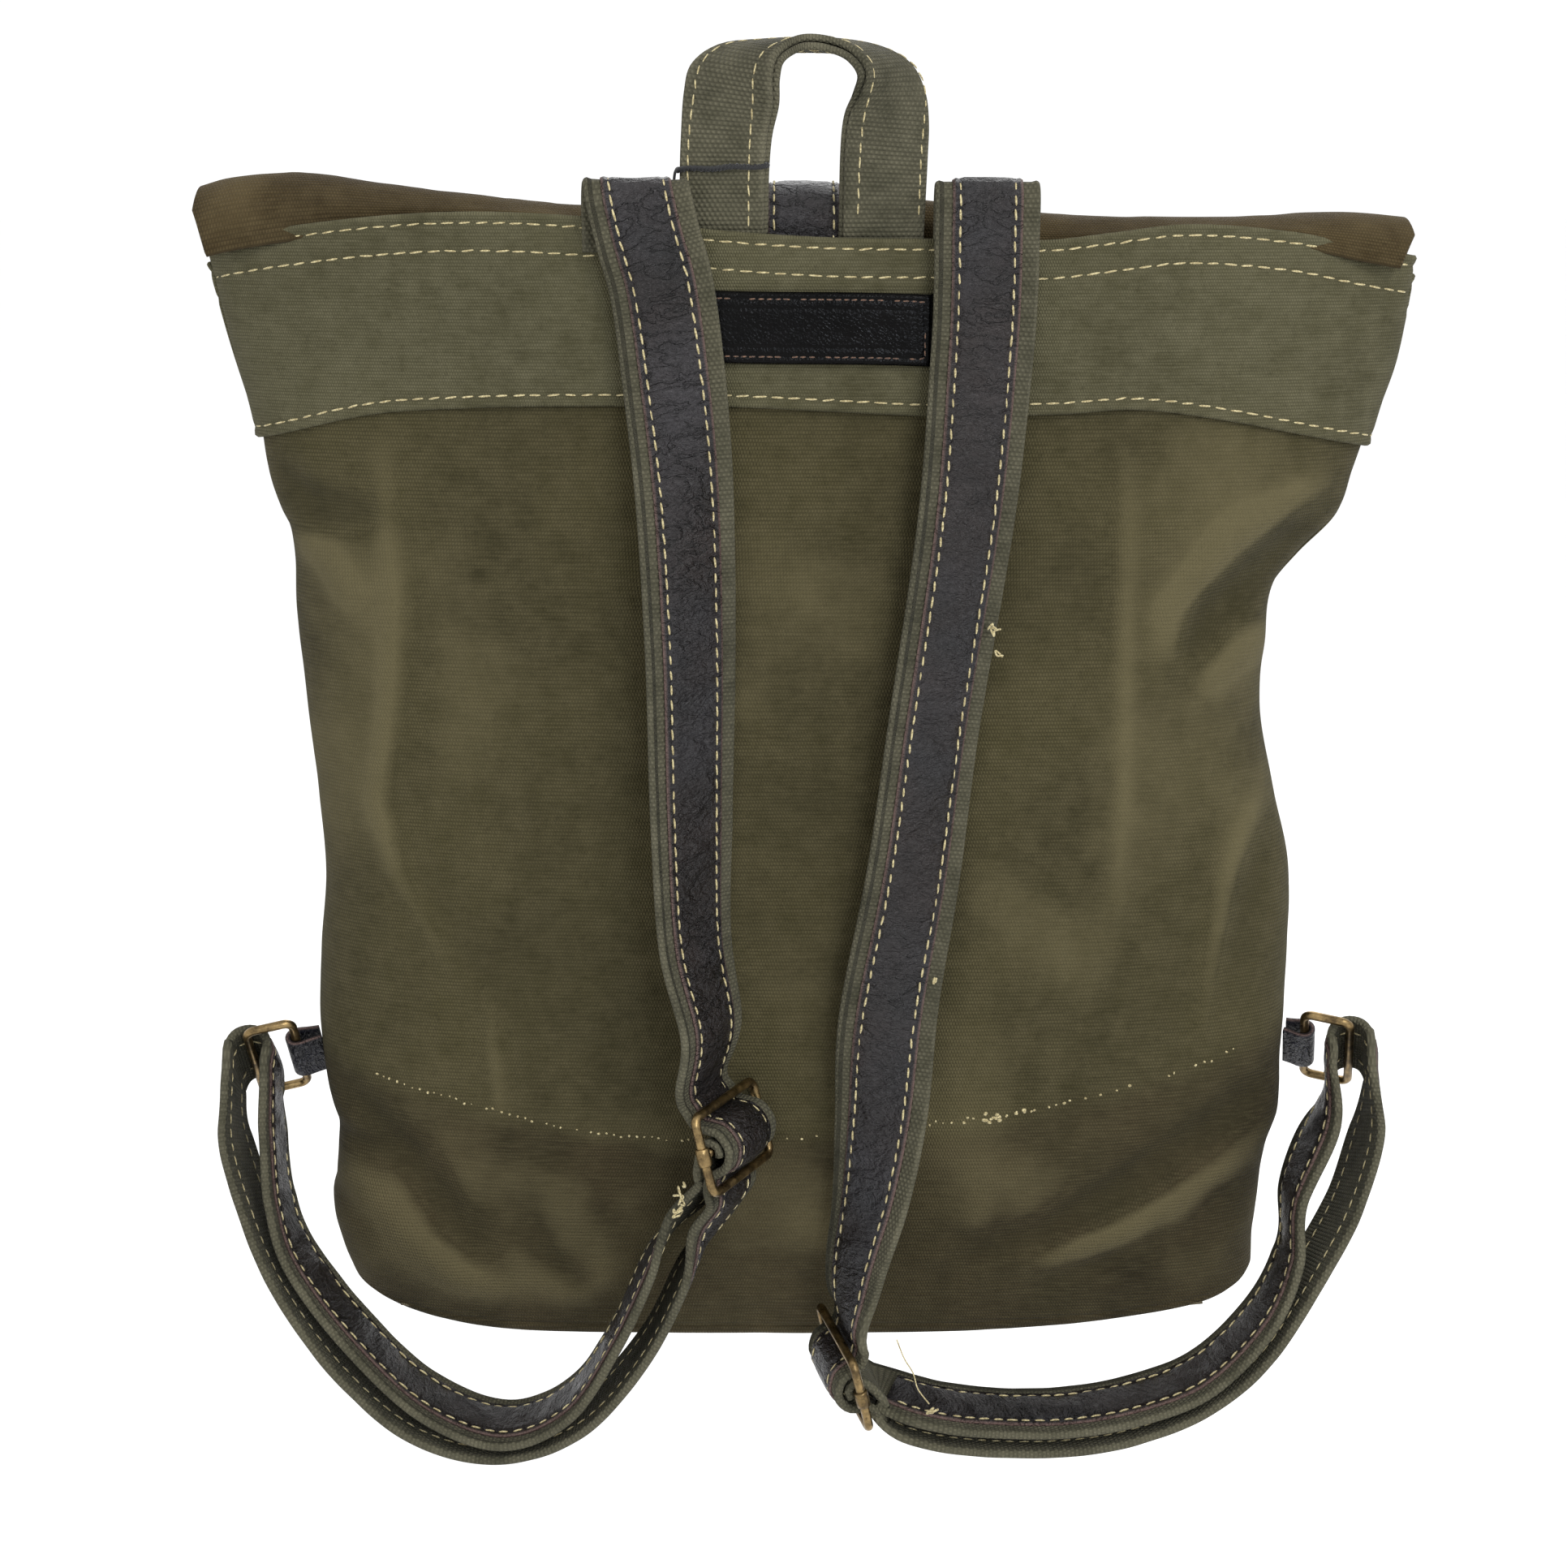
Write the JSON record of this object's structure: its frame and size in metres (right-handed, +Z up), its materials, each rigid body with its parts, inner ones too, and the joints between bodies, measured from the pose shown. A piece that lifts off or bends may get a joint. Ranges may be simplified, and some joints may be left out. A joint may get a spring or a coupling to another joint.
{
  "type": "school backpack",
  "caption": "Soft canvas and leather backpack with fold-over buckled flap, zipped front pocket, haul handle and adjustable shoulder straps on side rings",
  "frame": {"origin": "underside of the haul handle's top, where a hook or hand holds it, at mount hang_point", "axes": "+Z up along the bag's height, -Y the side against the wearer's back, +Y the front with the flap closure, +X to the right of a viewer who looks at the back"},
  "size_m": [0.4735, 0.1696, 0.5419],
  "materials": {
    "canvas_brown": "worn waxed duck canvas, olive brown, mottled",
    "canvas_green": "plain heavy duck canvas, grey green",
    "lining_cotton": "plain cotton lining",
    "leather_brown": "creased dark brown leather, half gloss",
    "leather_black": "black leather, half gloss",
    "patch_leather": "glossy black leather, blank",
    "antique_brass": "antiqued, dark in the hollows",
    "zip_tape": "woven zip tape",
    "tag_cord": "twisted black cord"
  },
  "bodies": {
    "bag": {"back_panel": "canvas_brown", "front_panel": "canvas_brown", "base_panel": "canvas_brown", "back_yoke": "canvas_green", "front_yoke": "canvas_green", "lining": "lining_cotton", "inner_slip_pocket": "lining_cotton", "label_patch": "patch_leather", "haul_handle": "canvas_green", "tag_cord": "tag_cord", "front_pocket": "canvas_brown", "zip_tape_lower": "zip_tape", "zip_tape_upper": "zip_tape", "zip_chain": "antique_brass", "zip_stop_left": "antique_brass", "zip_stop_right": "antique_brass", "snap_socket": "antique_brass", "strap_top_left": "canvas_green", "strap_top_right": "canvas_green", "strap_top_leather_left": "leather_brown", "strap_top_leather_right": "leather_brown"},
    "flap": {"flap_top": "canvas_brown", "closure_strap_top": "leather_brown"},
    "flap_front": {"flap_front": "canvas_brown", "closure_strap_front": "leather_brown", "buckle_frame": "antique_brass", "buckle_bar": "antique_brass", "closure_billet": "leather_brown", "snap_stud": "antique_brass"},
    "prong": {"buckle_prong": "antique_brass"},
    "zip_slider": {"zip_slider": "antique_brass"},
    "zip_pull": {"zip_pull": "leather_brown"},
    "strap_left": {"strap_canvas_left": "canvas_green", "strap_leather_left": "leather_brown", "slide_frame_left": "antique_brass", "slide_bar_left": "antique_brass", "side_ring_left": "antique_brass", "side_tab_left": "leather_black"},
    "strap_right": {"strap_canvas_right": "canvas_green", "strap_leather_right": "leather_brown", "slide_frame_right": "antique_brass", "slide_bar_right": "antique_brass", "side_ring_right": "antique_brass", "side_tab_right": "leather_black"}
  },
  "joints": [
    {"name": "flap_hinge", "type": "hinge", "parent": "bag", "child": "flap", "pos_m": [0, 0.0109, -0.0585], "axis": [1, 0, 0], "range_deg": [0, 75]},
    {"name": "flap_fold", "type": "hinge", "parent": "flap", "child": "flap_front", "pos_m": [0, 0.0609, -0.0605], "axis": [1, 0, 0], "range_deg": [0, 75]},
    {"name": "prong_hinge", "type": "hinge", "parent": "flap_front", "child": "prong", "pos_m": [0, 0.09611, -0.1845], "axis": [1, 0, 0], "range_deg": [0, 95]},
    {"name": "zip_slide", "type": "slide", "parent": "bag", "child": "zip_slider", "axis": [1, 0, 0], "range_m": [0, 0.16]},
    {"name": "zip_pull_hinge", "type": "hinge", "parent": "zip_slider", "child": "zip_pull", "pos_m": [-0.08, 0.10192, -0.2845], "axis": [1, 0, 0], "range_deg": [0, 140]},
    {"name": "strap_left_swing", "type": "hinge", "parent": "bag", "child": "strap_left", "pos_m": [-0.07, -0.0101, -0.1065], "axis": [-0.3934, 0.161, -0.9052], "range_deg": [0, 45], "deforming": ["side_tab_left"]},
    {"name": "strap_right_swing", "type": "hinge", "parent": "bag", "child": "strap_right", "pos_m": [0.086, -0.0101, -0.1065], "axis": [-0.3681, -0.166, 0.9148], "range_deg": [0, 45], "deforming": ["side_tab_right"]}
  ],
  "couplings": [
    {"joint": "flap_fold", "follows": "flap_hinge", "ratio": 1}
  ]
}
